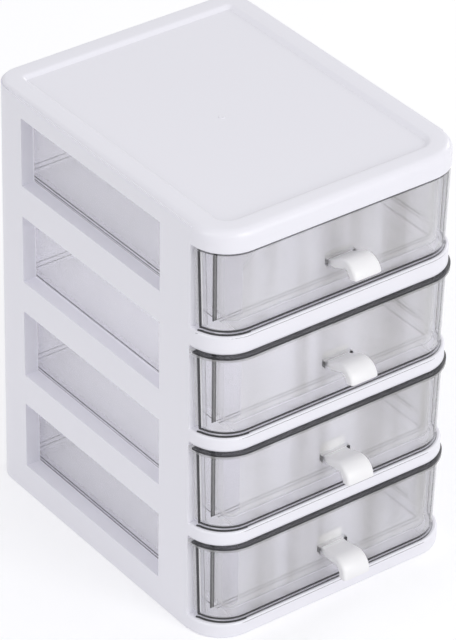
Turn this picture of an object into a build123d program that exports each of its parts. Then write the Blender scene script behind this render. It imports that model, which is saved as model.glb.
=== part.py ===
from build123d import *
import os
from math import cos, radians, sin

# A desk-top chest of four small clear drawers in a white case.
# Origin: centre of the case's underside. +X is the user's right, -Y the drawer
# fronts, +Z up. All sizes are in millimetres.

# Case
case_width = 130.8
case_depth = 164.4
side_lean = 0.005  # inward lean of the side faces, mm per mm of height
rear_lean = 0.008  # inward lean of the rear face
front_corner_radius = 17.8
rear_corner_radius = 13.0
side_wall = 7.2  # side panel at the floor, thinner upwards by the lean
rear_wall = 5.8
inner_corner_radius = 5.0
corner_return = 1.0  # straight stretch that a side panel keeps past its rear corner
back_thickness = 3.6
shelf_corner_clearance = 1.0

# Levels, from the underside up
base_thickness = 7.3
opening_height = 41.0
shelf_thickness = 6.8
top_shelf_thickness = 8.9
top_opening_height = 39.2
lid_front_height = 10.4
nose_edge_radius = 1.0

# Side windows, one beside each drawer
window_sills = (7.1, 7.5, 8.0, 6.3)  # above each drawer opening's floor
window_margin = 7.9  # how much lower a window is than a drawer opening
window_front_post = 20.9
window_rear_post = 25.5

# Lid
lid_rim_thickness = 1.6
lid_inset = 1.0
lid_fit = 0.2
lid_plate = 4.0
lid_recess_depth = 1.5
lid_recess_margin = 9.8  # front and rear
lid_recess_side_margin = 10.8
lid_recess_radius = 6.0
lid_recess_soften = 1.2
lid_front_edge_radius = 3.0
lid_side_edge_radius = 1.3

# Drawers
drawer_floor_clearance = 0.3
drawer_top_clearance = 0.5
drawer_side_clearance = 1.3
drawer_rear_clearance = 0.9
drawer_wall = 2.0
drawer_floor = 2.0
tub_outer_radius = 8.0
tub_inner_radius = 6.0
radius_step = 0.2  # lower edges are rounded this much less than upright corners
front_setback = 0.9  # drawer front behind the shelf noses, at its top
front_draft = 1.1  # how much further back it stands at its foot
front_foot_lift = 0.5  # foot of the front above the drawer's underside
front_foot_radius = 1.6
wing_gap = 1.0  # between the front's wings and the side panels' ends
rim_height = 2.1
top_rim_height = 0.8
rim_setback = -1.3  # the rim stands proud of the shelf noses
top_rim_setback = 0.7  # under the lid it is only a fine bead
front_wall = 2.2

# Handles
handle_width = 13.8
handle_thickness = 3.0
slot_side_clearance = 0.25
slot_height_clearance = 0.65
slot_rise = 17.6  # slot middle above the drawer opening's floor
knee_reach = 17.0
knee_rise = 4.6
tip_reach = 16.8
tip_drop = 4.2
knee_radius = 5.0
neck_run = 2.0
neck_radius = 5.0
clip_below = 2.5
clip_thickness = 1.5
clip_gap = 0.3
handle_tilts = (-7.0, 0.0, 9.5, 13.0)  # rest posture in degrees, lowest first
clip_aboves = (6.0, 6.0, 4.4, 3.2)  # clip's top above the slot middle, lowest first

# Derived places
front_y = -case_depth / 2
rear_y = case_depth / 2
panel_front_y = front_y + front_corner_radius
inner_half = case_width / 2 - side_wall
inner_rear_y = rear_y - rear_wall
return_half = case_width / 2 - rear_corner_radius - corner_return
shelf_thicknesses = (shelf_thickness, shelf_thickness, top_shelf_thickness)
opening_heights = (opening_height, opening_height, opening_height, top_opening_height)
rim_heights = (rim_height, rim_height, rim_height, top_rim_height)
rim_setbacks = (rim_setback, rim_setback, rim_setback, top_rim_setback)
floors = [base_thickness]
for gap, thickness in zip(opening_heights, shelf_thicknesses):
    floors.append(floors[-1] + gap + thickness)
cavity_front = front_y + front_setback + front_draft / 2 + front_wall
lid_bottom = floors[-1] + top_opening_height
case_height = lid_bottom + lid_front_height
seam = case_height - lid_rim_thickness
far = case_width + case_depth

os.makedirs("parts", exist_ok=True)


def half_width(level):
    return case_width / 2 - side_lean * level


def rounded_plan(level, half, front, rear, front_radius, rear_radius):
    """A rectangle in plan with its own front and rear corner radii."""
    with BuildSketch(Plane.XY.offset(level)) as plan:
        with Locations((0, (front + rear) / 2)):
            Rectangle(2 * half, rear - front)
        if front_radius > 0:
            fillet(plan.vertices().group_by(Axis.Y)[0], front_radius)
        if rear_radius > 0:
            fillet(plan.vertices().group_by(Axis.Y)[-1], rear_radius)
    return plan.sketch


def case_plan(level, inset=0.0):
    """Outline of the case at a height, with rounded corners."""
    return rounded_plan(
        level,
        half_width(level) - inset,
        front_y + inset,
        rear_y - rear_lean * level - inset,
        front_corner_radius - inset,
        rear_corner_radius - inset,
    )


def case_block(bottom, top, inset=0.0):
    """Solid of the case's outer shape between two heights."""
    with BuildPart() as block:
        loft([case_plan(bottom, inset).face(), case_plan(top, inset).face()], ruled=True)
    return block.part


def write(part, name):
    part.label = name
    export_step(part, f"parts/{name}.step")


# Side panels: the case's side with its rounded rear corner and four windows
def make_right_side():
    with BuildSketch() as keep:
        with BuildLine():
            Polyline(
                (inner_half, panel_front_y),
                (far, panel_front_y),
                (far, far),
                (return_half, far),
                (return_half, inner_rear_y),
                (inner_half, inner_rear_y),
                close=True,
            )
        make_face()
        inner_corner = keep.vertices().sort_by_distance((inner_half, inner_rear_y, 0))[0]
        fillet(inner_corner, inner_corner_radius)
    block = case_block(0, seam)
    window_height = opening_height - window_margin
    window_front = panel_front_y + window_front_post
    window_rear = rear_y - window_rear_post
    with BuildPart() as side:
        add(block)
        with BuildSketch():
            add(keep.sketch)
        extrude(amount=seam, mode=Mode.INTERSECT)
        with BuildSketch(Plane.YZ):
            for floor, sill in zip(floors, window_sills):
                middle = floor + sill + window_height / 2
                with Locations(((window_front + window_rear) / 2, middle)):
                    Rectangle(window_rear - window_front, window_height)
        extrude(amount=far, mode=Mode.SUBTRACT)
    return side.part


right_side = make_right_side()
with BuildPart() as left_side:
    mirror(right_side, about=Plane.YZ)
write(right_side, "right_side_panel")
write(left_side.part, "left_side_panel")


# Back panel, closing the case between the side panels' returns
with BuildPart() as back_panel:
    with BuildSketch():
        with Locations((0, inner_rear_y + back_thickness / 2)):
            Rectangle(2 * return_half, back_thickness)
    extrude(amount=seam)
write(back_panel.part, "back_panel")


# Base and shelves: a plate between the side panels with a full-width nose in front
def make_plate(bottom, top):
    block = case_block(bottom, top)
    with BuildPart() as plate:
        add(block)
        with BuildSketch(Plane.XY.offset(bottom)) as keep:
            with Locations((0, panel_front_y - far / 2)):
                Rectangle(far, far)
            with Locations((0, (panel_front_y + inner_rear_y) / 2)):
                Rectangle(2 * inner_half, inner_rear_y - panel_front_y)
            fillet(
                keep.vertices().group_by(Axis.Y)[-1],
                inner_corner_radius + shelf_corner_clearance,
            )
        extrude(amount=top - bottom, mode=Mode.INTERSECT)
        nose_edges = [
            edge
            for level in (0, -1)
            for edge in plate.faces().sort_by(Axis.Z)[level].edges()
            if edge.center().Y < panel_front_y - front_corner_radius / 4
        ]
        fillet(nose_edges, nose_edge_radius)
    return plate.part


write(make_plate(0, base_thickness), "base")
for index, thickness in enumerate(shelf_thicknesses):
    shelf_top = floors[index + 1]
    write(make_plate(shelf_top - thickness, shelf_top), f"shelf_{index + 1}")


# Lid: front fascia, thin rim over the walls, plate between the walls, recessed top
def make_lid():
    nose = case_block(lid_bottom, case_height)
    rim = case_block(seam, case_height, lid_inset)
    half_top = half_width(case_height)
    rear_top = rear_y - rear_lean * case_height
    plate_bottom = case_height - lid_recess_depth - lid_plate
    plate_rear = inner_rear_y - lid_fit
    recess_level = case_height - lid_recess_depth
    with BuildPart() as rim_part:
        add(rim)
        top_edges = rim_part.faces().sort_by(Axis.Z)[-1].edges()
        fillet(top_edges, lid_side_edge_radius)
    with BuildPart() as nose_part:
        add(nose)
        with BuildSketch(Plane.XY.offset(lid_bottom)):
            with Locations((0, panel_front_y - far / 2)):
                Rectangle(far, far)
        extrude(amount=lid_front_height, mode=Mode.INTERSECT)
        front_edges = [
            edge
            for edge in nose_part.faces().sort_by(Axis.Z)[-1].edges()
            if edge.center().Y < panel_front_y - front_corner_radius / 4
        ]
        fillet(front_edges, lid_front_edge_radius)
        foot_edges = [
            edge
            for edge in nose_part.faces().sort_by(Axis.Z)[0].edges()
            if edge.center().Y < panel_front_y - front_corner_radius / 4
        ]
        fillet(foot_edges, nose_edge_radius)
    with BuildPart() as recess:
        with BuildSketch(Plane.XY.offset(recess_level)):
            add(
                rounded_plan(
                    0,
                    half_top - lid_recess_side_margin,
                    front_y + lid_recess_margin,
                    rear_top - lid_recess_margin,
                    lid_recess_radius,
                    lid_recess_radius,
                )
            )
        extrude(amount=2 * lid_recess_depth)
        fillet(recess.faces().sort_by(Axis.Z)[0].edges(), lid_recess_soften)
    with BuildPart() as lid:
        add(nose_part.part)
        add(rim_part.part)
        with BuildSketch(Plane.XY.offset(plate_bottom)) as plate:
            with Locations((0, (panel_front_y + plate_rear) / 2)):
                Rectangle(2 * (inner_half - lid_fit), plate_rear - panel_front_y)
            fillet(
                plate.vertices().group_by(Axis.Y)[-1],
                inner_corner_radius + shelf_corner_clearance,
            )
        extrude(amount=seam - plate_bottom)
        add(recess.part, mode=Mode.SUBTRACT)
    return lid.part


write(make_lid(), "lid")


# Drawers: a tub with rounded lower edges behind a curved front with wings and a rim
def tub_block(half, front, rear, bottom, top, corner_radius, foot_radius, closed):
    """A block with rounded upright corners and rounded lower edges.

    An open block keeps its front corners and front lower edge sharp.
    """
    with BuildPart() as block:
        with BuildSketch(Plane.XY.offset(bottom)) as plan:
            with Locations((0, (front + rear) / 2)):
                Rectangle(2 * half, rear - front)
            corners = plan.vertices() if closed else plan.vertices().group_by(Axis.Y)[-1]
            fillet(corners, corner_radius)
        extrude(amount=top - bottom)
        foot_edges = block.faces().sort_by(Axis.Z)[0].edges()
        if not closed:
            foot_edges = foot_edges.sort_by(Axis.Y)[1:]
        fillet(foot_edges, foot_radius)
    return block.part


def front_block(bottom, top, setback_foot, setback_top, back, half):
    """Block behind the curved front surface, back to a given Y."""
    sections = []
    for level, setback in ((bottom, setback_foot), (top, setback_top)):
        plan = rounded_plan(
            level,
            half - setback,
            front_y + setback,
            panel_front_y + front_corner_radius,
            front_corner_radius - setback,
            0,
        )
        sections.append(plan.face())
    with BuildPart() as block:
        loft(sections, ruled=True)
        split(bisect_by=Plane(origin=(0, back, 0), z_dir=(0, -1, 0)), keep=Keep.TOP)
    return block.part


def make_drawer(index):
    floor = floors[index]
    top = floor + opening_heights[index] - drawer_top_clearance
    bottom = floor + drawer_floor_clearance
    foot = bottom + front_foot_lift
    rim_bottom = top - rim_heights[index]
    half = half_width(case_height)
    wing_y = panel_front_y - wing_gap
    tub_half = inner_half - drawer_side_clearance
    tub_rear = inner_rear_y - drawer_rear_clearance
    foot_setback = front_setback + front_draft
    slot_z = floor + slot_rise

    outer = front_block(foot, top, foot_setback, front_setback, wing_y, half)
    inner = front_block(
        foot,
        top,
        foot_setback + front_wall,
        front_setback + front_wall,
        panel_front_y + front_corner_radius / 2,
        half,
    )
    rim_back = rim_setbacks[index]
    rim = front_block(rim_bottom, top, rim_back, rim_back, wing_y, half)
    tub = tub_block(
        tub_half,
        front_y + foot_setback + front_wall / 2,
        tub_rear,
        bottom,
        top,
        tub_outer_radius,
        tub_outer_radius - radius_step,
        False,
    )
    cavity = tub_block(
        tub_half - drawer_wall,
        cavity_front,
        tub_rear - drawer_wall,
        bottom + drawer_floor,
        top + opening_height,
        tub_inner_radius,
        tub_inner_radius - radius_step,
        True,
    )
    with BuildPart() as shell:
        add(outer)
        foot_edges = [
            edge
            for edge in shell.faces().sort_by(Axis.Z)[0].edges()
            if edge.center().Y < wing_y - front_foot_radius
        ]
        fillet(foot_edges, front_foot_radius)
        add(rim)
        add(inner, mode=Mode.SUBTRACT)
    with BuildPart() as tub_trimmed:
        add(tub)
        with BuildSketch(Plane.XY.offset(bottom)):
            add(
                rounded_plan(
                    0,
                    half - foot_setback - front_wall / 2,
                    front_y + foot_setback + front_wall / 2,
                    far,
                    front_corner_radius - foot_setback - front_wall / 2,
                    0,
                )
            )
        extrude(amount=top - bottom, mode=Mode.INTERSECT)
    with BuildPart() as drawer:
        add(shell.part)
        add(tub_trimmed.part)
        add(cavity, mode=Mode.SUBTRACT)
        with BuildSketch(Plane.XZ.offset(-cavity_front - front_wall)):
            with Locations((0, slot_z)):
                Rectangle(
                    handle_width + 2 * slot_side_clearance,
                    handle_thickness + 2 * slot_height_clearance,
                )
        extrude(amount=3 * front_wall + front_setback, mode=Mode.SUBTRACT)
    return drawer.part


# Handles: a clip behind the drawer front, a neck through its slot and a curved grip
def make_handle(index):
    tilt = radians(handle_tilts[index])
    pivot_y = cavity_front - front_wall / 2
    slot_z = floors[index] + slot_rise
    out = (0, -cos(tilt), sin(tilt))
    corner = (handle_width / 2, pivot_y, slot_z)
    grip_plane = Plane(origin=corner, x_dir=out, z_dir=(-1, 0, 0))
    clip_plane = Plane(origin=corner, x_dir=(0, -1, 0), z_dir=(-1, 0, 0))
    clip_middle = -(front_wall / 2 + clip_gap + clip_thickness / 2)
    clip_above = clip_aboves[index]
    with BuildPart() as handle:
        with BuildSketch(grip_plane):
            with BuildLine():
                FilletPolyline(
                    (clip_middle, 0),
                    (neck_run, 0),
                    (knee_reach, knee_rise),
                    (tip_reach, -tip_drop),
                    radius=(neck_radius, knee_radius),
                )
            trace(line_width=handle_thickness)
        extrude(amount=handle_width)
        with BuildSketch(clip_plane):
            with Locations((clip_middle, (clip_above - clip_below) / 2)):
                Rectangle(clip_thickness, clip_above + clip_below)
        extrude(amount=handle_width)
    return handle.part


for index in range(len(floors)):
    write(make_drawer(index), f"drawer_{index + 1}")
    write(make_handle(index), f"handle_{index + 1}")
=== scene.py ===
import bpy
import bmesh
import math
from mathutils import Matrix, Vector


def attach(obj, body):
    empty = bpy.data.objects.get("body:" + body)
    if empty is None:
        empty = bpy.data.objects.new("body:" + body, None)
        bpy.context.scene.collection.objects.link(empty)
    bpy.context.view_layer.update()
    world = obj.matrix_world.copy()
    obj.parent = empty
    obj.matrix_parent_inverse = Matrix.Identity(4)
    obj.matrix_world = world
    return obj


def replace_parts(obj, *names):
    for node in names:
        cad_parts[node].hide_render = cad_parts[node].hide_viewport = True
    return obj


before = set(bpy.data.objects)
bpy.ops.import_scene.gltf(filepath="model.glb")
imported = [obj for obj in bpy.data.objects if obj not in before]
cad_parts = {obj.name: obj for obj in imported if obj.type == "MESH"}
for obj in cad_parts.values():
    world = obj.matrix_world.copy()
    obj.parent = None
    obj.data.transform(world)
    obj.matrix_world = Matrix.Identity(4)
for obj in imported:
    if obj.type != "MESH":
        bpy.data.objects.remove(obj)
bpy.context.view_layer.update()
scene = bpy.context.scene
mm = 0.001
perMetre = 1000  # mm
print("frame loaded")

cameraValues = {
    "place": (-0.85727, -1.15434, 1.04868),  # metres
    "azimuth": -36.682,  # degrees, 0 looks along +Y
    "elevation": 33.503,
    "roll": 0.635,
    "lens": 225.7,  # mm
    "sensor": 36.0,  # its height, mm
    "nearest": 0.05,  # metres
    "furthest": 20.0,
}


def makeCamera(v):
    a = math.radians(v["azimuth"])
    e = math.radians(v["elevation"])
    r = math.radians(v["roll"])
    back = Vector((math.sin(a) * math.cos(e), -math.cos(a) * math.cos(e), math.sin(e)))
    right = Vector((math.cos(a), math.sin(a), 0.0))
    up = back.cross(right)
    rolledRight = right * math.cos(r) + up * math.sin(r)
    rolledUp = up * math.cos(r) - right * math.sin(r)
    turn = Matrix((rolledRight, rolledUp, back)).transposed().to_4x4()
    data = bpy.data.cameras.new("photoCamera")
    data.sensor_fit = "VERTICAL"
    data.sensor_height = v["sensor"]
    data.lens = v["lens"]
    data.clip_start = v["nearest"]
    data.clip_end = v["furthest"]
    camera = bpy.data.objects.new("photoCamera", data)
    camera.matrix_world = Matrix.Translation(Vector(v["place"])) @ turn
    scene.collection.objects.link(camera)
    scene.camera = camera


makeCamera(cameraValues)
print("camera made")


# small helpers for the node trees
def feed(tree, socket, value):  # a plain value is set, another node's output is linked
    if isinstance(value, tuple):
        socket.default_value = (*value, 1)
    elif isinstance(value, (int, float)):
        socket.default_value = value
    else:
        tree.links.new(value, socket)


def mathNode(tree, operation, first, second=None, third=None):
    node = tree.nodes.new("ShaderNodeMath")
    node.operation = operation
    for index, value in enumerate((first, second, third)):
        if value is not None:
            feed(tree, node.inputs[index], value)
    return node.outputs[0]


def bandMask(tree, value, low, high, soft):  # 1 between low and high, soft at both ends
    halves = []
    for edge, start, end in ((low, 0, 1), (high, 1, 0)):
        node = tree.nodes.new("ShaderNodeMapRange")
        node.interpolation_type = "SMOOTHSTEP"
        tree.links.new(value, node.inputs["Value"])
        node.inputs["To Min"].default_value = start
        node.inputs["To Max"].default_value = end
        if isinstance(edge, (int, float)):
            before, after = edge - soft, edge + soft
        else:
            before = mathNode(tree, "SUBTRACT", edge, soft)
            after = mathNode(tree, "ADD", edge, soft)
        feed(tree, node.inputs["From Min"], before)
        feed(tree, node.inputs["From Max"], after)
        halves.append(node.outputs[0])
    return mathNode(tree, "MULTIPLY", *halves)


def mixColours(tree, factor, first, second):
    mix = tree.nodes.new("ShaderNodeMix")
    mix.data_type = "RGBA"
    tree.links.new(factor, mix.inputs["Factor"])
    feed(tree, mix.inputs["A"], first)
    feed(tree, mix.inputs["B"], second)
    return mix.outputs["Result"]


def noiseNode(tree, place, scale, detail):
    noise = tree.nodes.new("ShaderNodeTexNoise")
    tree.links.new(place, noise.inputs["Vector"])
    feed(tree, noise.inputs["Scale"], scale)
    noise.inputs["Detail"].default_value = detail
    return noise.outputs["Fac"]


def placeInMm(tree):  # the shaded point: as it is, then its |X|, Y and Z in mm
    coords = tree.nodes.new("ShaderNodeTexCoord")
    split = tree.nodes.new("ShaderNodeSeparateXYZ")
    tree.links.new(coords.outputs["Object"], split.inputs[0])
    across = mathNode(tree, "MULTIPLY", split.outputs["X"], perMetre)
    across = mathNode(tree, "ABSOLUTE", across)
    along = mathNode(tree, "MULTIPLY", split.outputs["Y"], perMetre)
    height = mathNode(tree, "MULTIPLY", split.outputs["Z"], perMetre)
    return coords.outputs["Object"], across, along, height


def addSocket(tree, name, direction, kind, value=None):
    socket = tree.interface.new_socket(name=name, in_out=direction, socket_type=kind)
    if value is not None:
        socket.default_value = value


def placeGroup(tree, group, values):
    node = tree.nodes.new("ShaderNodeGroup")
    node.node_tree = group
    for name, value in values.items():
        feed(tree, node.inputs[name], value)
    return node


def newMaterial(name):
    material = bpy.data.materials.new(name)
    material.use_nodes = True
    return material, material.node_tree, material.node_tree.nodes["Principled BSDF"]


studioValues = {
    "sky": 0.70,  # ambient level
    "skyTint": (0.985, 0.985, 1.0),
    "aim": (0, 0, 0.1),  # what the lamps point at, metres
    "lamps": (  # name, place, power and size
        ("keyLight", (0.25, -1.5, 0.75), 9.0, 0.9),
        ("sideLight", (-1.5, -0.2, 0.8), 3.4, 0.8),
        ("windowLight", (1.5, 0.35, 0.75), 3.0, 0.35),  # comes in through the right-hand windows
    ),
    "floorSize": 6.0,
    "floorColour": (0.80, 0.80, 0.81),
    "floorRoughness": 0.9,
    "whiteFrom": 1.1,  # metres from the middle
    "whiteTo": 99,  # past the floor's edge
    "whiteSoft": 0.45,
    "floorLift": 0.30,  # what the camera sees on top of the floor's own shade
    "clearLayers": 32,  # how many clear walls a ray may pass
    "bounces": 8,
}


def aimedArea(name, place, power, size, target):
    data = bpy.data.lights.new(name, "AREA")
    data.energy = power
    data.size = size
    lamp = bpy.data.objects.new(name, data)
    lamp.location = place
    aim = Vector(target) - Vector(place)
    lamp.rotation_euler = aim.to_track_quat("-Z", "Y").to_euler()
    scene.collection.objects.link(lamp)


def seenRay(tree):  # 1 for what the camera sees, also in a reflection or through glass
    path = tree.nodes.new("ShaderNodeLightPath")
    seen = mathNode(tree, "MAXIMUM", path.outputs["Is Camera Ray"], path.outputs["Is Glossy Ray"])
    return mathNode(tree, "MAXIMUM", seen, path.outputs["Is Transmission Ray"])


def makeSky(v):
    world = bpy.data.worlds.new("studioWorld")
    scene.world = world
    world.use_nodes = True
    tree = world.node_tree
    tree.nodes.clear()
    sky = tree.nodes.new("ShaderNodeBackground")
    sky.inputs["Color"].default_value = (*v["skyTint"], 1)
    sky.inputs["Strength"].default_value = v["sky"]
    backdrop = tree.nodes.new("ShaderNodeBackground")
    mix = tree.nodes.new("ShaderNodeMixShader")
    out = tree.nodes.new("ShaderNodeOutputWorld")
    tree.links.new(seenRay(tree), mix.inputs["Fac"])
    tree.links.new(sky.outputs[0], mix.inputs[1])
    tree.links.new(backdrop.outputs[0], mix.inputs[2])
    tree.links.new(mix.outputs[0], out.inputs["Surface"])


def makeFloor(v):
    mesh = bpy.data.meshes.new("studioFloor")
    half = v["floorSize"] / 2
    mesh.from_pydata(
        [(-half, -half, 0), (half, -half, 0), (half, half, 0), (-half, half, 0)],
        [], [(0, 1, 2, 3)],
    )
    floor = bpy.data.objects.new("studioFloor", mesh)
    scene.collection.objects.link(floor)
    material, tree, shader = newMaterial("paleFloor")
    shader.inputs["Roughness"].default_value = v["floorRoughness"]
    shader.inputs["Specular IOR Level"].default_value = 0.0
    shader.inputs["Emission Color"].default_value = (1, 1, 1, 1)
    # further out the floor turns plain white, so no horizon shows
    coords = tree.nodes.new("ShaderNodeTexCoord")
    away = tree.nodes.new("ShaderNodeVectorMath")
    away.operation = "LENGTH"
    tree.links.new(coords.outputs["Object"], away.inputs[0])
    far = bandMask(tree, away.outputs["Value"], v["whiteFrom"], v["whiteTo"], v["whiteSoft"])
    colour = mixColours(tree, far, v["floorColour"], (0, 0, 0))
    tree.links.new(colour, shader.inputs["Base Color"])
    lift = mathNode(tree, "MULTIPLY_ADD", far, 1 - v["floorLift"], v["floorLift"])
    lift = mathNode(tree, "MULTIPLY", lift, seenRay(tree))
    tree.links.new(lift, shader.inputs["Emission Strength"])
    mesh.materials.append(material)


makeSky(studioValues)
for lamp in studioValues["lamps"]:
    aimedArea(*lamp, studioValues["aim"])
makeFloor(studioValues)
scene.view_settings.view_transform = "Standard"
scene.cycles.transparent_max_bounces = studioValues["clearLayers"]
scene.cycles.diffuse_bounces = studioValues["bounces"]
print("studio made")

# moulded plastic: soft mottling, uneven gloss and a fine orange peel
mouldedValues = {
    "inputs": {  # what a material gets where it doesn't set its own
        "Colour": (0.8, 0.8, 0.8, 1),
        "Shade": (0.7, 0.7, 0.7, 1),
        "Mottle Scale": 9.0,
        "Mottle Amount": 0.4,
        "Roughness": 0.35,
        "Roughness Spread": 0.1,
        "Peel Scale": 900.0,
    },
    "mottleDetail": 3.0,
    "glossScale": 35.0,
    "glossDetail": 4.0,
    "peelDetail": 2.0,
}


def makeMouldedGroup(v):
    tree = bpy.data.node_groups.new("mouldedSurface", "ShaderNodeTree")
    for name, value in v["inputs"].items():
        kind = "NodeSocketColor" if isinstance(value, tuple) else "NodeSocketFloat"
        addSocket(tree, name, "INPUT", kind, value)
    addSocket(tree, "Colour", "OUTPUT", "NodeSocketColor")
    addSocket(tree, "Roughness", "OUTPUT", "NodeSocketFloat")
    addSocket(tree, "Height", "OUTPUT", "NodeSocketFloat")
    given = tree.nodes.new("NodeGroupInput").outputs
    sink = tree.nodes.new("NodeGroupOutput")
    place = tree.nodes.new("ShaderNodeTexCoord").outputs["Object"]
    mottle = noiseNode(tree, place, given["Mottle Scale"], v["mottleDetail"])
    amount = mathNode(tree, "MULTIPLY", mottle, given["Mottle Amount"])
    colour = mixColours(tree, amount, given["Colour"], given["Shade"])
    tree.links.new(colour, sink.inputs["Colour"])
    uneven = noiseNode(tree, place, v["glossScale"], v["glossDetail"])
    centred = mathNode(tree, "SUBTRACT", uneven, 0.5)
    spread = mathNode(tree, "MULTIPLY", centred, given["Roughness Spread"])
    total = mathNode(tree, "ADD", given["Roughness"], spread)
    tree.links.new(total, sink.inputs["Roughness"])
    peel = noiseNode(tree, place, given["Peel Scale"], v["peelDetail"])
    tree.links.new(peel, sink.inputs["Height"])
    return tree


mouldedGroup = makeMouldedGroup(mouldedValues)

# painted glow: an emission inside the case, brighter towards the lid, stands in for light that
# comes in through the thin white walls
glowValues = {  # the space inside the case, mm
    "half": 58.6,
    "front": -76.0,
    "rear": 77.0,
    "foot": 7.0,
    "top": 192.4,
    "softAcross": 0.2,
    "softAlong": 0.4,
    "softHeight": 0.1,
    "tint": (1.0, 0.99, 0.985),
    "footShare": 0.45,  # the glow at the foot, as a share of that under the lid
}


def makeInnerGlow(v):
    tree = bpy.data.node_groups.new("innerGlow", "ShaderNodeTree")
    addSocket(tree, "Glow", "OUTPUT", "NodeSocketColor")
    sink = tree.nodes.new("NodeGroupOutput")
    _, across, along, height = placeInMm(tree)
    # |X| is never negative, so -1 leaves that side open
    inside = mathNode(tree, "MULTIPLY", bandMask(tree, across, -1, v["half"], v["softAcross"]),
                      bandMask(tree, along, v["front"], v["rear"], v["softAlong"]))
    inside = mathNode(tree, "MULTIPLY", inside,
                      bandMask(tree, height, v["foot"], v["top"], v["softHeight"]))
    rise = mathNode(tree, "MULTIPLY_ADD", height, (1 - v["footShare"]) / v["top"], v["footShare"])
    glow = mixColours(tree, mathNode(tree, "MULTIPLY", inside, rise), (0, 0, 0), v["tint"])
    tree.links.new(glow, sink.inputs["Glow"])
    return tree


innerGlow = makeInnerGlow(glowValues)


def plasticMaterial(name, v):
    material, tree, shader = newMaterial(name)
    surface = placeGroup(tree, mouldedGroup, v["surface"])
    bump = tree.nodes.new("ShaderNodeBump")
    bump.inputs["Strength"].default_value = v["bumpStrength"]
    bump.inputs["Distance"].default_value = v["bumpDistance"]
    tree.links.new(surface.outputs["Height"], bump.inputs["Height"])
    tree.links.new(bump.outputs["Normal"], shader.inputs["Normal"])
    tree.links.new(surface.outputs["Colour"], shader.inputs["Base Color"])
    tree.links.new(surface.outputs["Roughness"], shader.inputs["Roughness"])
    shader.inputs["Coat Weight"].default_value = v["coat"]
    shader.inputs["Coat Roughness"].default_value = v["coatRoughness"]
    # the case's painted glow, an emission from the innerGlow group
    if v["glow"]:
        inner = placeGroup(tree, innerGlow, {})
        tree.links.new(inner.outputs["Glow"], shader.inputs["Emission Color"])
        shader.inputs["Emission Strength"].default_value = v["glow"]
    return material


caseFinish = {
    "surface": {
        "Colour": (0.877, 0.87, 0.928),
        "Shade": (0.853, 0.846, 0.908),
        "Mottle Scale": 14.0,
        "Mottle Amount": 0.5,
        "Roughness": 0.34,
        "Roughness Spread": 0.10,
        "Peel Scale": 700.0,
    },
    "bumpStrength": 0.06,
    "bumpDistance": 0.0003,
    "coat": 0.25,
    "coatRoughness": 0.12,
    "glow": 0.17,  # painted glow standing in for light that comes through the thin white walls into the case
}
gripFinish = {
    "surface": {
        "Colour": (0.90, 0.895, 0.91),
        "Shade": (0.87, 0.865, 0.87),
        "Mottle Scale": 60.0,
        "Mottle Amount": 0.5,
        "Roughness": 0.38,
        "Roughness Spread": 0.12,
        "Peel Scale": 1200.0,
    },
    "bumpStrength": 0.05,
    "bumpDistance": 0.0002,
    "coat": 0.2,
    "coatRoughness": 0.15,
    "glow": 0.0,
}
caseWhite = plasticMaterial("caseWhite", caseFinish)
gripWhite = plasticMaterial("gripWhite", gripFinish)

# clear drawer plastic: nearly invisible walls with painted refraction streaks, and a rim painted
# dark for its shade and for the dark that thick clear plastic shows
drawerLevels = (  # opening floor, drawer top and rim height above that floor, mm
    (7.3, 40.5, 2.1),
    (55.1, 40.5, 2.1),
    (102.9, 40.5, 2.1),
    (152.8, 38.7, 0.8),
)
clearValues = {
    "surface": {
        "Colour": (0.90, 0.90, 0.905),
        "Shade": (0.846, 0.846, 0.8507),
        "Mottle Scale": 22.0,
        "Mottle Amount": 0.6,
        "Roughness": 0.10,
        "Roughness Spread": 0.06,
        "Peel Scale": 160.0,
    },
    # painted colours: the streaks stand in for refraction, the dark for the rim's shade, the
    # lighter top for light falling on it
    "streak": (0.50, 0.49, 0.475),
    "paintedDark": (0.022, 0.022, 0.026),
    "paintedLitRimTop": (0.05, 0.05, 0.055),
    "alpha": 0.035,
    "gloss": 0.30,  # how much the grazing faces veil what is behind them
    "glossIor": 1.35,
    "streakAlpha": 0.17,
    "paintedDarkAlpha": 0.96,
    "thinRimAlpha": 0.75,  # the top drawer's rim
    "thinRim": 1.0,  # a rim lower than this is a thin one, mm
    "crownAlpha": 0.93,
    "coatRoughness": 0.03,
    "specular": 0.3,
    "ahead": -95,  # a Y that lies in front of everything, mm
    "above": 60,  # a height over everything in a drawer
    "rimStart": 0.5,  # share of the rim's height that stays clear below the dark
    "rimEnd": -67.4,
    "rimSoft": 0.05,
    "crownDepth": 0.06,
    "crownSoft": 0.03,
    "slotHalf": 7.15,
    "slotEnd": 0.08,  # half the thickness of the slot's dark end walls
    "slotSoft": 0.04,
    "slotFoot": 16.2,
    "slotTop": 19.2,
    "slotFront": -90,
    "slotRear": -77,
    "soft": 0.1,
    "streakScale": 62.0,
    "streakDetail": 2.0,
    "streakLength": 0.06,  # the noise's upright scale beside its level one
    "streakFrom": 0.5,  # the noise's value where a streak begins
    "streakTo": 2.0,  # over the noise's highest value
    "streakSoft": 0.14,
    "streakRear": -74.0,  # streaks show on the fronts only
    "streakFade": 1.0,
}


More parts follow.
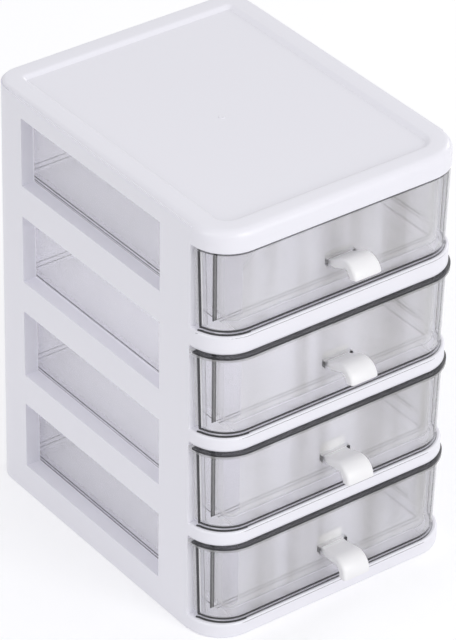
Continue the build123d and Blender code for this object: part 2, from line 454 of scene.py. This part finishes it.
def makePaintedEdges(v):
    tree = bpy.data.node_groups.new("paintedEdgesAndStreaks", "ShaderNodeTree")
    names = ("Floor Level", "Drawer Top", "Rim Height")
    for name, value in zip(names, drawerLevels[0]):
        addSocket(tree, name, "INPUT", "NodeSocketFloat", value)
    for name in ("Painted Dark", "Rim Top", "Streak"):
        addSocket(tree, name, "OUTPUT", "NodeSocketFloat")
    given = tree.nodes.new("NodeGroupInput").outputs
    sink = tree.nodes.new("NodeGroupOutput")
    place, across, along, height = placeInMm(tree)
    height = mathNode(tree, "SUBTRACT", height, given["Floor Level"])
    rimFoot = mathNode(tree, "SUBTRACT", given["Drawer Top"], given["Rim Height"])
    # the rim's front is painted dark, for its shade under the shelf and the dark of thick clear
    # plastic
    darkFoot = mathNode(tree, "ADD", rimFoot,
                        mathNode(tree, "MULTIPLY", given["Rim Height"], v["rimStart"]))
    rim = mathNode(tree, "MULTIPLY", bandMask(tree, along, v["ahead"], v["rimEnd"], v["soft"]),
                   bandMask(tree, height, darkFoot, v["above"], v["rimSoft"]))
    # painted shade on the slot's end walls
    inner, outer = v["slotHalf"] - v["slotEnd"], v["slotHalf"] + v["slotEnd"]
    slot = mathNode(tree, "MULTIPLY", bandMask(tree, across, inner, outer, v["slotSoft"]),
                    bandMask(tree, height, v["slotFoot"], v["slotTop"], v["soft"]))
    slot = mathNode(tree, "MULTIPLY", slot,
                    bandMask(tree, along, v["slotFront"], v["slotRear"], v["soft"]))
    tree.links.new(mathNode(tree, "MAXIMUM", rim, slot), sink.inputs["Painted Dark"])
    # the rim's top is painted a little lighter, as lit from above
    crown = mathNode(tree, "SUBTRACT", given["Drawer Top"], v["crownDepth"])
    tree.links.new(bandMask(tree, height, crown, v["above"], v["crownSoft"]),
                   sink.inputs["Rim Top"])
    # painted refraction: upright streaks, as in a thick wall that bends what is behind it
    stretch = tree.nodes.new("ShaderNodeVectorMath")
    stretch.operation = "MULTIPLY"
    stretch.inputs[1].default_value = (1.0, 1.0, v["streakLength"])
    tree.links.new(place, stretch.inputs[0])
    streak = noiseNode(tree, stretch.outputs[0], v["streakScale"], v["streakDetail"])
    streak = bandMask(tree, streak, v["streakFrom"], v["streakTo"], v["streakSoft"])
    streak = mathNode(tree, "MULTIPLY", streak,
                      bandMask(tree, along, v["ahead"], v["streakRear"], v["streakFade"]))
    tree.links.new(streak, sink.inputs["Streak"])
    return tree


paintedEdgesAndStreaks = makePaintedEdges(clearValues)


def clearMaterial(index, v):
    floorLevel, drawerTop, rimHeight = drawerLevels[index]
    material, tree, shader = newMaterial(f"clearPlastic{index + 1}")
    edges = placeGroup(tree, paintedEdgesAndStreaks, {
        "Floor Level": floorLevel, "Drawer Top": drawerTop, "Rim Height": rimHeight,
    }).outputs
    moulded = placeGroup(tree, mouldedGroup, v["surface"])
    # painted refraction streaks on the walls
    wall = mixColours(tree, edges["Streak"], moulded.outputs["Colour"], v["streak"])
    # painted shade on the rim, its top painted lighter
    paintedDark = mixColours(tree, edges["Rim Top"], v["paintedDark"], v["paintedLitRimTop"])
    colour = mixColours(tree, edges["Painted Dark"], wall, paintedDark)
    tree.links.new(colour, shader.inputs["Base Color"])
    tree.links.new(moulded.outputs["Roughness"], shader.inputs["Roughness"])
    fresnel = tree.nodes.new("ShaderNodeFresnel")
    fresnel.inputs["IOR"].default_value = v["glossIor"]
    veil = mathNode(tree, "MULTIPLY_ADD", fresnel.outputs[0], v["gloss"], v["alpha"])
    veil = mathNode(tree, "MULTIPLY_ADD", edges["Streak"], v["streakAlpha"], veil)
    share = v["paintedDarkAlpha"] if rimHeight > v["thinRim"] else v["thinRimAlpha"]
    crown = mathNode(tree, "MULTIPLY_ADD", edges["Rim Top"], v["crownAlpha"] - 1.0, 1.0)
    opaque = mathNode(tree, "MULTIPLY", edges["Painted Dark"], share)
    opaque = mathNode(tree, "MULTIPLY", opaque, crown)
    tree.links.new(mathNode(tree, "MAXIMUM", veil, opaque), shader.inputs["Alpha"])
    gloss = mathNode(tree, "SUBTRACT", 1.0, edges["Painted Dark"])
    tree.links.new(gloss, shader.inputs["Coat Weight"])
    shader.inputs["Coat Roughness"].default_value = v["coatRoughness"]
    shader.inputs["Specular IOR Level"].default_value = v["specular"]
    return material


def dressNode(name, material):
    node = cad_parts[name]
    node.data.materials.clear()
    node.data.materials.append(material)


for index in range(len(drawerLevels)):
    dressNode(f"drawer_{index + 1}", clearMaterial(index, clearValues))
for name in ("base", "left_side_panel", "right_side_panel", "back_panel",
             "shelf_1", "shelf_2", "shelf_3"):
    dressNode(name, caseWhite)
print("case and drawers finished")

meshValues = {
    "mergeDistance": 1e-7,  # metres
    "smoothAngle": 35,  # degrees, where a piece doesn't say its own
}


def meshPiece(name, points, faces, material, body, smoothAngle=meshValues["smoothAngle"]):
    mesh = bpy.data.meshes.new(name)
    mesh.from_pydata([tuple(c * mm for c in p) for p in points], [], faces)
    build = bmesh.new()
    build.from_mesh(mesh)
    bmesh.ops.remove_doubles(build, verts=build.verts, dist=meshValues["mergeDistance"])
    bmesh.ops.recalc_face_normals(build, faces=build.faces)
    build.to_mesh(mesh)
    build.free()
    mesh.shade_smooth()
    mesh.set_sharp_from_angle(angle=math.radians(smoothAngle))
    mesh.materials.append(material)
    piece = bpy.data.objects.new(name, mesh)
    scene.collection.objects.link(piece)
    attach(piece, body)
    return piece


def ringFaces(ringCount, size):  # rings joined one to the next, with a face over each end
    faces = []
    for ring in range(ringCount - 1):
        for k in range(size):
            n = (k + 1) % size
            a, b = ring * size, (ring + 1) * size
            faces.append((a + k, a + n, b + n, b + k))
    faces.append(tuple(range(size - 1, -1, -1)))
    faces.append(tuple((ringCount - 1) * size + k for k in range(size)))
    return faces


def arc(centreX, centreY, radius, start, steps):  # a quarter turn from start, in degrees
    for step in range(steps + 1):
        a = math.radians(start + 90 * step / steps)
        yield centreX + radius * math.cos(a), centreY + radius * math.sin(a)


# edge lines of the clear drawers: beads of painted shade and painted highlight along the places
# where thick clear plastic looks dark or light, and in the shaded gap at each front's foot
# a look is the bead's radius, its shade from dark 0 to light 1, and its cover
lineValues = {
    "half": 64.39,  # half width of the drawer front's outline
    "front": -82.2,
    "cornerRadius": 17.8,
    "cornerSteps": 16,
    "setbackTop": 0.9,
    "setbackFoot": 2.0,
    # painted shade along the front's foot: the upper line where the thick foot bends light, the
    # lower the shadow in the gap above the shelf
    "footLines": (  # height, step outwards, look
        (1.4, -0.1, (0.42, 0.03, 0.95)),
        (0.3, 0.6, (0.27, 0.08, 0.95)),
    ),
    "footCorner": (0.3, 0.9, (0.4, 0.02, 0.95)),
    "footCornerReach": 2,  # how far it runs on past the corner
    # a painted dark line at the end of each wing, fainter on the right
    "uprightY": -68.05,
    "uprightFoot": 1.6,
    "uprightLook": (0.55, 0.04, 0.95),
    "wingInset": 0.1,
    "wingLines": (  # painted highlights and a grey line beside the upright: step back from the upright, foot, look
        (-1.15, 3.0, (0.26, 1.0, 0.85)),
        (1.3, 3.0, (0.22, 1.0, 0.6)),
        (-3.2, 3.5, (0.14, 0.45, 0.4)),
    ),
    # painted shade up the inner corners, painted light on the right
    "innerX": 55.8,
    "innerY": -69.3,
    "innerDrop": 0.6,  # under the wall's top
    "innerBeads": ((-0.7, 0.0), (0.0, 0.2), (0.7, 0.0)),  # offset and shade
    "innerRadius": 0.38,
    "innerCover": 0.95,
    "glint": (1.7, 0.6, 1.0, (0.2, 1.0, 0.7)),  # a painted glint: step in, step forward, rise, look
    "fadeStart": 44.0,  # the foot's painted dark lines fade round the right corner, and the right side's lines are painted lighter
    "fadeLength": 12.0,
    "rightFade": 0.75,
    "rightDark": 0.42,
    "rightShade": 0.85,
    "rightStripes": (  # painted highlights and grey lines round the right corner: step forward round the corner, look
        (2.2, (0.5, 1.0, 0.6)),
        (4.6, (0.16, 0.3, 0.5)),
        (5.6, (0.45, 1.0, 0.55)),
        (8.0, (0.7, 0.9, 0.4)),
        (9.6, (0.15, 0.35, 0.45)),
    ),
    "stripeFoot": 3.2,
    "stripeDrop": 0.5,
    # painted dark lines on the tub's sides, floor and rear, where its rounded corners bend light
    "tubHalf": 56.95,
    "sideSpan": (-60, 66),
    "sideLines": ((6.0, (0.2, 0.2, 0.6)), (7.6, (0.26, 0.2, 0.6))),  # height, look
    "floorHeight": 2.6,
    "floorHalf": 54.9,
    "floorRear": 69.6,
    "floorLook": (0.22, 0.3, 0.55),
    "crossHalf": 54.6,
    "floorFront": ((-69.3, 0.0), (-71.3, 0.2)),  # Y, and rise above the floor
    "frontLook": (0.2, 0.35, 0.6),
    "rearHeights": (2.8, 5.2),
    "rearLook": (0.2, 0.25, 0.6),
    "sides": 6,
}


def frontOutline(v, setback, startY):
    # plan of the drawer front from its left wing round to its right wing
    half, front, radius = v["half"] - setback, v["front"] + setback, v["cornerRadius"] - setback
    steps = v["cornerSteps"]
    points = [(-half, startY)]
    points += arc(-half + radius, front + radius, radius, 180, steps)
    for step in range(1, steps):
        share = step / steps
        points.append(((-half + radius) * (1 - share) + (half - radius) * share, front))
    points += arc(half - radius, front + radius, radius, 270, steps)
    points.append((half, startY))
    ends = (points[0], points[-1])
    return [p for p in points if p in ends or p[1] <= startY + 1e-6]  # nothing behind startY


def drawerLines(index, v):
    # each line: its points, then bead radius, shade and cover
    level, top, rimHeight = drawerLevels[index]
    wallTop = top - rimHeight
    lines = []

    def setbackAt(height):
        return v["setbackFoot"] + (v["setbackTop"] - v["setbackFoot"]) * height / top

    def planAt(height, step):
        return frontOutline(v, setbackAt(height) - step, v["uprightY"])

    def onWing(side, y, height):
        inset = setbackAt(height) + v["wingInset"]
        half, radius = v["half"] - inset, v["cornerRadius"] - inset
        centreY = v["front"] + v["cornerRadius"]
        drop = max(0.0, centreY - y)
        x = half - radius + math.sqrt(max(radius * radius - drop * drop, 0.0))
        return (side * x, y, level + height)

    def wingLine(side, y, low, high, look):
        lines.append(([onWing(side, y, low), onWing(side, y, high)], *look))

    def upright(x, y, low, high, look):
        lines.append(([(x, y, level + low), (x, y, level + high)], *look))

    def straight(start, end, z, look):
        lines.append(([(*start, z), (*end, z)], *look))

    for height, step, (radius, shade, cover) in v["footLines"]:
        plan = planAt(height, step)
        fade = [1 - v["rightFade"] * min(max((x - v["fadeStart"]) / v["fadeLength"], 0), 1)
                for x, _ in plan]
        lines.append(([(x, y, level + height) for x, y in plan], radius, shade,
                      [cover * f for f in fade]))
    height, step, look = v["footCorner"]
    cornerEnd = v["cornerRadius"] + v["footCornerReach"] - v["half"]
    lines.append(([(x, y, level + height) for x, y in planAt(height, step) if x < cornerEnd],
                  *look))
    for side in (-1, 1):
        # painted shade is fainter on the right-hand side
        dark = 1.0 if side < 0 else v["rightDark"]
        radius, shade, cover = v["uprightLook"]
        wingLine(side, v["uprightY"], v["uprightFoot"], wallTop,
                 (radius * dark, shade, cover * dark))
        for step, foot, look in v["wingLines"]:
            wingLine(side, v["uprightY"] + step, foot, wallTop, look)
        if side > 0:
            for step, look in v["rightStripes"]:
                wingLine(side, v["uprightY"] - step, v["stripeFoot"],
                         wallTop - v["stripeDrop"], look)
        x, y = side * v["innerX"], v["innerY"]
        innerTop = wallTop - v["innerDrop"]
        for offset, shade in v["innerBeads"]:
            shade = shade if side < 0 else v["rightShade"]
            upright(x + offset, y, v["floorHeight"], innerTop,
                    (v["innerRadius"], shade, v["innerCover"]))
        stepIn, forward, rise, look = v["glint"]
        upright(x - side * stepIn, y - forward, v["floorHeight"] + rise, innerTop, look)
        first, last = v["sideSpan"]
        for height, look in v["sideLines"]:
            straight((side * v["tubHalf"], first), (side * v["tubHalf"], last),
                     level + height, look)
        straight((side * v["floorHalf"], v["innerY"]), (side * v["floorHalf"], v["floorRear"]),
                 level + v["floorHeight"], v["floorLook"])
    for y, rise in v["floorFront"]:
        straight((-v["crossHalf"], y), (v["crossHalf"], y),
                 level + v["floorHeight"] + rise, v["frontLook"])
    for height in v["rearHeights"]:
        straight((-v["crossHalf"], v["floorRear"]), (v["crossHalf"], v["floorRear"]),
                 level + height, v["rearLook"])
    return lines


def makeBeadTree():
    tree = bpy.data.node_groups.new("edgeBeads", "GeometryNodeTree")
    addSocket(tree, "Lines", "INPUT", "NodeSocketGeometry")
    addSocket(tree, "Size", "INPUT", "NodeSocketFloat", mm)
    addSocket(tree, "Sides", "INPUT", "NodeSocketInt", lineValues["sides"])
    addSocket(tree, "Finish", "INPUT", "NodeSocketMaterial")
    addSocket(tree, "Beads", "OUTPUT", "NodeSocketGeometry")
    source = tree.nodes.new("NodeGroupInput")
    sink = tree.nodes.new("NodeGroupOutput")
    curve = tree.nodes.new("GeometryNodeMeshToCurve")
    tree.links.new(source.outputs["Lines"], curve.inputs["Mesh"])
    thick = tree.nodes.new("GeometryNodeInputNamedAttribute")
    thick.data_type = "FLOAT"
    thick.inputs["Name"].default_value = "thick"
    circle = tree.nodes.new("GeometryNodeCurvePrimitiveCircle")
    tree.links.new(source.outputs["Sides"], circle.inputs["Resolution"])
    tree.links.new(source.outputs["Size"], circle.inputs["Radius"])
    beads = tree.nodes.new("GeometryNodeCurveToMesh")
    beads.inputs["Fill Caps"].default_value = True
    tree.links.new(curve.outputs["Curve"], beads.inputs["Curve"])
    tree.links.new(thick.outputs["Attribute"], beads.inputs["Scale"])
    tree.links.new(circle.outputs["Curve"], beads.inputs["Profile Curve"])
    real = tree.nodes.new("GeometryNodeRealizeInstances")
    tree.links.new(beads.outputs["Mesh"], real.inputs["Geometry"])
    finish = tree.nodes.new("GeometryNodeSetMaterial")
    tree.links.new(real.outputs["Geometry"], finish.inputs["Geometry"])
    tree.links.new(source.outputs["Finish"], finish.inputs["Material"])
    tree.links.new(finish.outputs["Geometry"], sink.inputs["Beads"])
    return tree


# the beads' paint: dark for painted shade, light for painted highlights
beadFinish = {
    "surface": {
        "Colour": (0.03, 0.03, 0.034),
        "Shade": (0.05, 0.05, 0.055),
        "Mottle Scale": 60.0,
        "Roughness": 0.25,
    },
    "light": (0.9, 0.9, 0.92),  # a bead of shade 1, a painted highlight
    "specular": 0.3,
}


def makeBeadMaterial(v):
    material, tree, shader = newMaterial("paintedEdgeShading")
    shade = tree.nodes.new("ShaderNodeAttribute")
    shade.attribute_name = "shade"
    cover = tree.nodes.new("ShaderNodeAttribute")
    cover.attribute_name = "cover"
    moulded = placeGroup(tree, mouldedGroup, v["surface"])
    colour = mixColours(tree, shade.outputs["Fac"], moulded.outputs["Colour"], v["light"])
    tree.links.new(colour, shader.inputs["Base Color"])
    tree.links.new(moulded.outputs["Roughness"], shader.inputs["Roughness"])
    tree.links.new(cover.outputs["Fac"], shader.inputs["Alpha"])
    shader.inputs["Specular IOR Level"].default_value = v["specular"]
    return material


beadTree = makeBeadTree()
paintedEdgeShading = makeBeadMaterial(beadFinish)


def makeEdgeLines(name, lines, body):
    points, edges, thick, shades, covers = [], [], [], [], []
    for line, radius, shade, cover in lines:
        for k, point in enumerate(line):
            if k:
                edges.append((len(points) - 1, len(points)))
            points.append(tuple(c * mm for c in point))
            thick.append(radius)
            shades.append(shade)
            covers.append(cover[k] if isinstance(cover, list) else cover)
    mesh = bpy.data.meshes.new("edgePaths")
    mesh.from_pydata(points, edges, [])
    for label, values in (("thick", thick), ("shade", shades), ("cover", covers)):
        attribute = mesh.attributes.new(label, "FLOAT", "POINT")
        attribute.data.foreach_set("value", values)
    paths = bpy.data.objects.new("edgePaths", mesh)
    scene.collection.objects.link(paths)
    modifier = paths.modifiers.new("edgeBeads", "NODES")
    modifier.node_group = beadTree
    inputs = {item.name: item.identifier for item in beadTree.interface.items_tree
              if item.in_out == "INPUT"}
    modifier[inputs["Size"]] = mm
    modifier[inputs["Sides"]] = lineValues["sides"]
    modifier[inputs["Finish"]] = paintedEdgeShading
    graph = bpy.context.evaluated_depsgraph_get()
    made = bpy.data.meshes.new_from_object(paths.evaluated_get(graph))
    bpy.data.objects.remove(paths)
    made.name = name
    made.shade_smooth()
    piece = bpy.data.objects.new(name, made)
    scene.collection.objects.link(piece)
    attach(piece, body)
    return piece


for index in range(len(drawerLevels)):
    made = makeEdgeLines(f"edgeLines{index + 1}", drawerLines(index, lineValues),
                         f"drawer_{index + 1}")
print("edge lines made:", len(made.data.vertices), "points a drawer")

# thin grey line of painted shade where each shelf's rounded front edge turns down
noseValues = {
    "drop": 0.8,  # below the drawer's floor level, mm
    "step": 0.02,
    "look": (0.13, 0.25, 0.5),
}


def noseLines(v, outline):
    plan = frontOutline(outline, v["step"], outline["uprightY"])
    return [([(x, y, floorLevel - v["drop"]) for x, y in plan], *v["look"])
            for floorLevel, _, _ in drawerLevels]


makeEdgeLines("noseLines", noseLines(noseValues, lineValues), "case")
print("nose lines made")

# lid: soft raised rim round a sunk panel, deep fascia in front
lidValues = {
    "halfWidth": 64.39,
    "front": -82.2,
    "rear": 80.58,
    "frontRadius": 17.8,
    "rearRadius": 12.0,
    "cornerSteps": 14,
    "sideInset": 1.0,
    "top": 202.4,
    "fasciaFoot": 192.0,
    "fasciaEnd": -64.1,  # what lies in front of this is fascia
    "rimFoot": 200.85,
    "underside": 12.0,  # how far it reaches in
    "frontFoot": (0.5, 0.5),  # inset and rise of the small bevel at the foot
    "sideFoot": (0.2, 0.1),
    "frontRound": 3.6,
    "sideRound": 1.5,
    "roundSteps": 7,
    "rimWidth": 10.3,
    "recess": 1.5,
    "recessRound": 2.2,
    "recessStart": 0.7,  # of that radius, in from the rim's width
    "recessTurn": 45,  # degrees that the shoulder rolls before it eases into the panel
    "recessSteps": 6,
    "easeLength": 1.4,  # times the drop that is left
}


def lidOutline(v, inset):
    half, front, rear = v["halfWidth"], v["front"], v["rear"]
    points = []
    corners = (
        (half, front, v["frontRadius"], -90, -1),
        (half, rear, v["rearRadius"], 0, 1),
        (-half, rear, v["rearRadius"], 90, 1),
        (-half, front, v["frontRadius"], 180, -1),
    )
    for x, y, radius, start, end in corners:
        points += arc(math.copysign(abs(x) - radius, x), y - end * radius, radius - inset,
                      start, v["cornerSteps"])
    return points


def evenAngles(last, count):  # from 0 to last degrees
    return [math.radians(last * i / count) for i in range(count + 1)]


def makeLid(v):
    isFront = [p[1] < v["fasciaEnd"] for p in lidOutline(v, 0.0)]

    def ring(insetFront, levelFront, insetSide, levelSide):
        front, side = lidOutline(v, insetFront), lidOutline(v, insetSide)
        return [(*front[k], levelFront) if inFront else (*side[k], levelSide)
                for k, inFront in enumerate(isFront)]

    top, foot, rimFoot, side = v["top"], v["fasciaFoot"], v["rimFoot"], v["sideInset"]
    frontIn, frontRise = v["frontFoot"]
    sideIn, sideRise = v["sideFoot"]
    rings = [
        ring(v["underside"], foot, v["underside"], rimFoot),
        ring(frontIn, foot, side + sideIn, rimFoot),
        ring(0.0, foot + frontRise, side, rimFoot + sideRise),
    ]
    fr, sr = v["frontRound"], v["sideRound"]
    for a in evenAngles(90, v["roundSteps"]):
        rings.append(ring(
            fr - fr * math.cos(a), top - fr + fr * math.sin(a),
            side + sr - sr * math.cos(a), top - sr + sr * math.sin(a),
        ))
    rr = v["recessRound"]
    for a in evenAngles(v["recessTurn"], v["recessSteps"]):  # inner shoulder rolls down
        inset = v["rimWidth"] - rr * v["recessStart"] + rr * math.sin(a)
        level = top - rr + rr * math.cos(a)
        rings.append(ring(inset, level, inset, level))
    endInset, panel = inset, top - v["recess"]
    drop = level - panel
    for a in evenAngles(90, v["recessSteps"])[1:]:  # and eases into the panel
        inset = endInset + drop * v["easeLength"] * math.sin(a)
        level = panel + drop * (1 - math.sin(a))
        rings.append(ring(inset, level, inset, level))
    points = [p for r in rings for p in r]
    faces = ringFaces(len(rings), len(isFront))
    return meshPiece("lidShell", points, faces, caseWhite, "case")


lidShell = makeLid(lidValues)
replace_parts(lidShell, "lid")

# the moulding gate's small scar in the middle of the lid's panel
gateValues = {
    "place": (-4.0, -3.0),
    "foot": 200.8,
    "rings": (  # radius and rise
        (1.5, 0.0), (1.5, 0.12), (1.25, 0.28), (0.95, 0.3), (0.7, 0.16), (0.3, 0.14),
    ),
    "steps": 20,
    "smoothAngle": 60,
}


def makeGateMark(v):
    points = []
    for radius, rise in v["rings"]:
        for step in range(v["steps"]):
            a = 2 * math.pi * step / v["steps"]
            points.append((v["place"][0] + radius * math.cos(a),
                           v["place"][1] + radius * math.sin(a), v["foot"] + rise))
    meshPiece("gateMark", points, ringFaces(len(v["rings"]), v["steps"]), caseWhite,
              "case", v["smoothAngle"])


makeGateMark(gateValues)
print("lid made")

# handles: clip, neck and curved grip
handleValues = {
    "width": 13.8,
    "neckWidth": 12.4,
    "thickness": 3.0,
    "underside": 1.5,  # the grip's underside swells this much outside the wall
    "growth": 4.5,
    "edge": 1.2,
    "edgeShrink": 0.8,  # how fast the edge's radius falls towards the rounded tip
    "leastEdge": 0.2,
    "sectionSteps": 4,
    "pivotY": -79.65,
    "slotRise": 17.6,
    "route": ((-2.15, 0.0), (2.0, 0.0), (17.0, 4.6), (16.8, -4.2)),
    "radii": (5.0, 6.0),
    "bendSteps": 10,
    "tipRound": 0.9,
    "tipTurns": (30, 60, 90),  # degrees
    "clipFace": -1.4,
    "clipThickness": 1.5,
    "clipEdge": 0.35,
    "clipCorner": 1.2,
    "clipAboves": (6.0, 6.0, 4.4, 3.2),
    "clipBelow": 2.5,
    "tilts": (-7.0, 0.0, 9.5, 13.0),
    "smoothAngle": 50,
}


def roundedRoute(route, radii, steps):
    line = [Vector(route[0])]
    for k in range(1, len(route) - 1):
        before, corner, after = (Vector(route[j]) for j in (k - 1, k, k + 1))
        a = (before - corner).normalized()
        b = (after - corner).normalized()
        half = a.angle(b) / 2
        reach = radii[k - 1] / math.tan(half)
        centre = corner + (a + b).normalized() * radii[k - 1] / math.sin(half)
        first = corner + a * reach - centre
        last = corner + b * reach - centre
        sweep = first.angle_signed(last)
        for step in range(steps + 1):
            angle = -sweep * step / steps
            turned = Vector((first.x * math.cos(angle) - first.y * math.sin(angle),
                             first.x * math.sin(angle) + first.y * math.cos(angle)))
            line.append(centre + turned)
    line.append(Vector(route[-1]))
    return line


def roundedSection(halfWide, halfTall, radius, steps):
    points = []
    for sx, sy, start in ((1, 1, 0), (-1, 1, 90), (-1, -1, 180), (1, -1, 270)):
        points += arc(sx * (halfWide - radius), sy * (halfTall - radius), radius, start, steps)
    return points


def makeHandle(index, v):
    tilt = math.radians(v["tilts"][index])
    level = drawerLevels[index][0] + v["slotRise"]

    def place(x, out, up, turn=tilt):
        along = out * math.cos(turn) - up * math.sin(turn)
        rise = out * math.sin(turn) + up * math.cos(turn)
        return (x, v["pivotY"] - along, level + rise)

    line = roundedRoute(v["route"], v["radii"], v["bendSteps"])
    reach = line[-1].x
    stations = []  # point, direction and how much smaller the section is there
    for k, point in enumerate(line):
        ahead = line[min(k + 1, len(line) - 1)] - line[max(k - 1, 0)]
        stations.append((point, ahead.normalized(), 0.0))
    tip, direction, _ = stations[-1]
    tipRound = v["tipRound"]
    stations[-1] = (tip - direction * tipRound, direction, 0.0)
    for turn in v["tipTurns"]:
        a = math.radians(turn)
        stations.append((tip - direction * tipRound * (1 - math.sin(a)), direction,
                         tipRound * (1 - math.cos(a))))
    points = []
    for point, direction, shrink in stations:
        normal = Vector((-direction.y, direction.x))
        flare = min(max(point.x / reach, 0.0), 1.0) ** 2  # the grip widens outwards
        halfWide = (v["neckWidth"] + (v["width"] - v["neckWidth"]) * flare) / 2 - shrink
        extra = v["underside"] * min(max(point.x / v["growth"], 0.0), 1.0)
        halfTall = v["thickness"] / 2 + extra / 2 - shrink
        edge = max(v["edge"] - shrink * v["edgeShrink"], v["leastEdge"])
        for x, up in roundedSection(halfWide, halfTall, edge, v["sectionSteps"]):
            spot = point + normal * (up - extra / 2)
            points.append(place(x, spot.x, spot.y))
    size = len(points) // len(stations)
    faces = ringFaces(len(stations), size)
    # clip plate inside the drawer, upright whatever the grip's tilt
    start = len(points)
    clipAbove = v["clipAboves"][index]
    middle = (clipAbove - v["clipBelow"]) / 2
    tall = (clipAbove + v["clipBelow"]) / 2
    near, far, bevel = v["clipFace"], v["clipFace"] - v["clipThickness"], v["clipEdge"]
    clipRings = ((near, bevel), (near - bevel, 0.0), (far + bevel, 0.0), (far, bevel))
    for out, shrink in clipRings:
        for x, up in roundedSection(v["neckWidth"] / 2 - shrink, tall - shrink,
                                    v["clipCorner"], v["sectionSteps"]):
            points.append(place(x, out, middle + up, 0.0))
    faces += [tuple(start + i for i in f) for f in ringFaces(len(clipRings), size)]
    return meshPiece(f"grip{index + 1}", points, faces, gripWhite,
                     f"drawer_{index + 1}", v["smoothAngle"])


for index in range(len(drawerLevels)):
    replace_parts(makeHandle(index, handleValues), f"handle_{index + 1}")
print("handles made")
